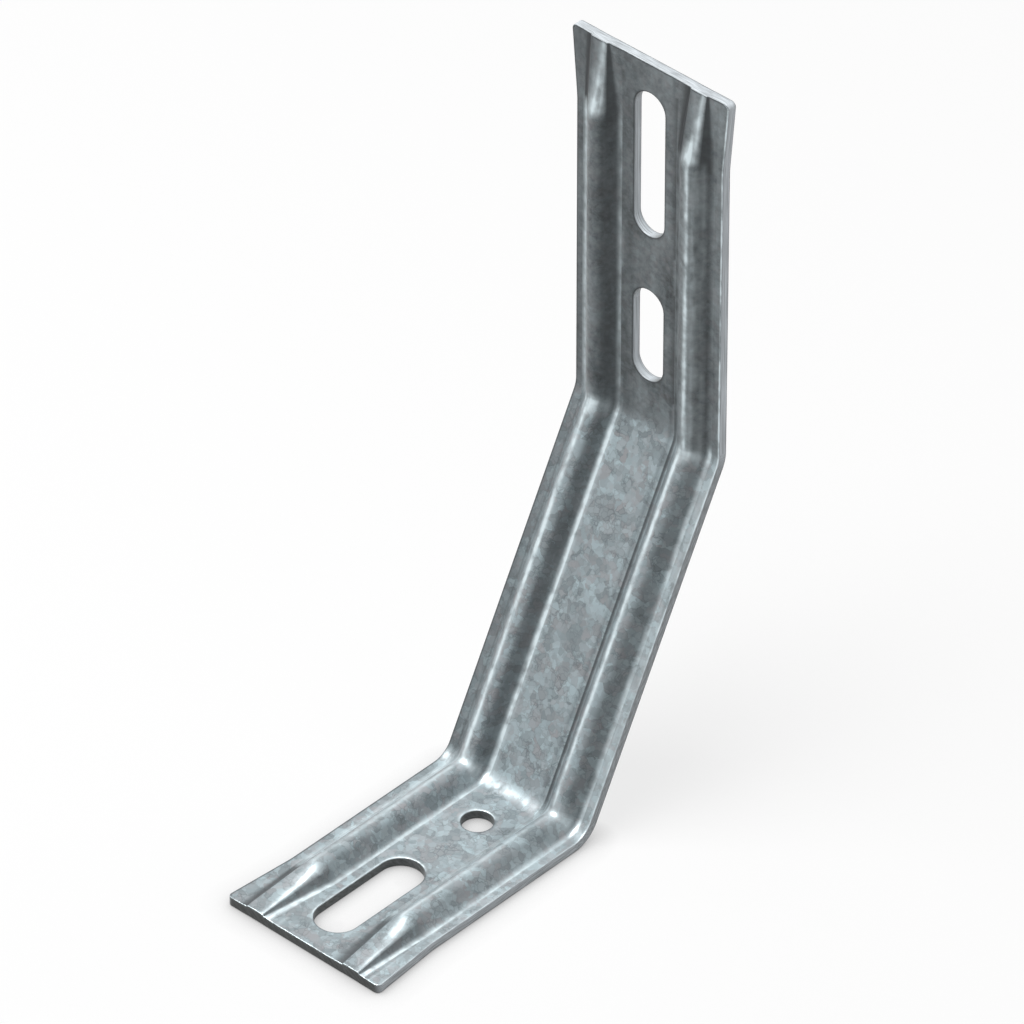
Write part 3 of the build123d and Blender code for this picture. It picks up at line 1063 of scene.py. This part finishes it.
def floor_material(studio):
    """Plain floor: white with a soft shadow to camera and gloss, and darker for the light it throws back."""
    material, tree, shader = new_material("plain_floor")
    seen = background_seen(tree)
    contact = add_node(tree, "AmbientOcclusion", {"Distance": studio.contact}, samples=6)
    open_share = 1.0 - (1.0 - Value(contact.outputs["AO"])) * CONTACT_STRENGTH
    floor = mix_colour(tree, seen, studio.bounce, shaded(tree, studio.floor, open_share))
    fill(shader, {"Base Color": floor, "Roughness": 1.0, "Specular IOR Level": 0.0})
    white = add_node(tree, "Emission", {"Strength": open_share})
    both = add_node(tree, "MixShader", {0: seen * studio.glow, 1: shader.outputs[0], 2: white.outputs[0]})
    fill(tree.nodes["Material Output"], {"Surface": both.outputs[0]})
    return material


def background_seen(tree):
    """1 for the rays of the camera, of gloss and of transmission, and 0 for diffuse light."""
    path = add_node(tree, "LightPath").outputs
    camera, gloss, through = (Value(path[f"Is {kind} Ray"]) for kind in ("Camera", "Glossy", "Transmission"))
    return camera.most(gloss).most(through)


def lookout(azimuth, elevation):
    """Unit vector at an azimuth from the front towards the right and at an elevation, in radians."""
    level = math.cos(elevation)
    return Vector((math.sin(azimuth) * level, -math.cos(azimuth) * level, math.sin(elevation)))


def new_object(name, data):
    """An object with its data, linked to the scene."""
    item = bpy.data.objects.new(name, data)
    bpy.context.scene.collection.objects.link(item)
    return item


def face_aim(item, aim, away, distance):
    """Sets an object at a distance from the aim, facing it."""
    item.location = Vector(aim) + away * distance
    item.rotation_euler = away.to_track_quat("Z", "Y").to_euler()


def area_lamp(name, aim, azimuth, elevation, distance, width, height, radiance):
    """A rectangular lamp that faces the aim from an azimuth and elevation in degrees.

    Its radiance is given: its power is pi times radiance times area.
    """
    data = bpy.data.lights.new(name, "AREA")
    data.shape = "RECTANGLE"
    data.size = width
    data.size_y = height
    data.energy = math.pi * radiance * width * height
    away = lookout(math.radians(azimuth), math.radians(elevation))
    face_aim(new_object(name, data), aim, away, distance)


class BRACKET_OT_sheet(bpy.types.Operator):
    """Build the pressed sheet with its ridges, bends and openings, in zinc"""

    bl_idname = "bracket.sheet"
    bl_label = "Pressed sheet"

    def execute(self, context):
        scene = context.scene
        mesh = sheet_mesh(scene.sheet_sizes, scene.opening_sizes, scene.mesh_steps, scene.zinc_marks)
        piece = new_object("pressed_sheet", mesh)
        mesh.materials.append(zinc_material(scene.zinc_finish))
        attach(piece, "root")
        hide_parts("bracket")
        return {"FINISHED"}


class BRACKET_OT_stage(bpy.types.Operator):
    """Build the floor, the lamps, the world and the camera"""

    bl_idname = "bracket.stage"
    bl_label = "Studio"

    def execute(self, context):
        scene = context.scene
        studio = scene.studio_setup
        half = studio.floor_size
        mesh = bpy.data.meshes.new("floor")
        corners = [(-half, -half, 0), (half, -half, 0), (half, half, 0), (-half, half, 0)]
        mesh.from_pydata(corners, [], [(0, 1, 2, 3)])
        floor = new_object("floor", mesh)
        floor.location.z = -FLOOR_DROP
        mesh.materials.append(floor_material(studio))
        aim = (studio.aim_x, studio.aim_y, studio.aim_z)
        for name, place in LAMPS.items():
            area_lamp(name, aim, *place, getattr(studio, name))
        world = bpy.data.worlds.new("studio_world")
        scene.world = world
        world.use_nodes = True
        tree = world.node_tree
        strength = background_seen(tree) * (1.0 - studio.sky) + studio.sky
        fill(tree.nodes["Background"], {"Color": (1.0, 1.0, 1.0), "Strength": strength})
        scene.view_settings.view_transform = "Standard"
        data = bpy.data.cameras.new("camera")
        data.lens = studio.lens
        data.clip_start = 0.05
        data.clip_end = 20.0
        camera = new_object("camera", data)
        face_aim(camera, aim, lookout(studio.azimuth, studio.elevation), studio.distance)
        scene.camera = camera
        return {"FINISHED"}


class BRACKET_PT_panel(bpy.types.Panel):
    """Lists the bracket's pieces and their sizes"""

    bl_label = "Frame fixing bracket"
    bl_idname = "BRACKET_PT_panel"
    bl_space_type = "VIEW_3D"
    bl_region_type = "UI"
    bl_category = "Bracket"

    def draw(self, context):
        layout = self.layout
        for operator in OPERATORS:
            layout.operator(operator.bl_idname)
        for name in GROUPS:
            group = getattr(context.scene, name)
            box = layout.box()
            box.label(text=group.bl_rna.name)
            for key in group.bl_rna.properties.keys():
                if key not in ("rna_type", "name"):
                    box.prop(group, key)


OPERATORS = (BRACKET_OT_sheet, BRACKET_OT_stage)
GROUPS = {
    "sheet_sizes": SheetSizes,
    "opening_sizes": OpeningSizes,
    "mesh_steps": MeshSteps,
    "zinc_marks": ZincMarks,
    "zinc_finish": ZincFinish,
    "studio_setup": StudioSetup,
}
CLASSES = (*GROUPS.values(), *OPERATORS, BRACKET_PT_panel)


def register():
    """Registers every class and hangs the property groups on the scene."""
    for cls in CLASSES:
        bpy.utils.register_class(cls)
    for name, cls in GROUPS.items():
        setattr(bpy.types.Scene, name, PointerProperty(type=cls))


def unregister():
    """Takes the property groups off the scene and unregisters every class."""
    for name in GROUPS:
        delattr(bpy.types.Scene, name)
    for cls in reversed(CLASSES):
        bpy.utils.unregister_class(cls)


def main():
    register()
    bpy.ops.bracket.sheet()
    bpy.ops.bracket.stage()


if __name__ == "__main__":
    main()
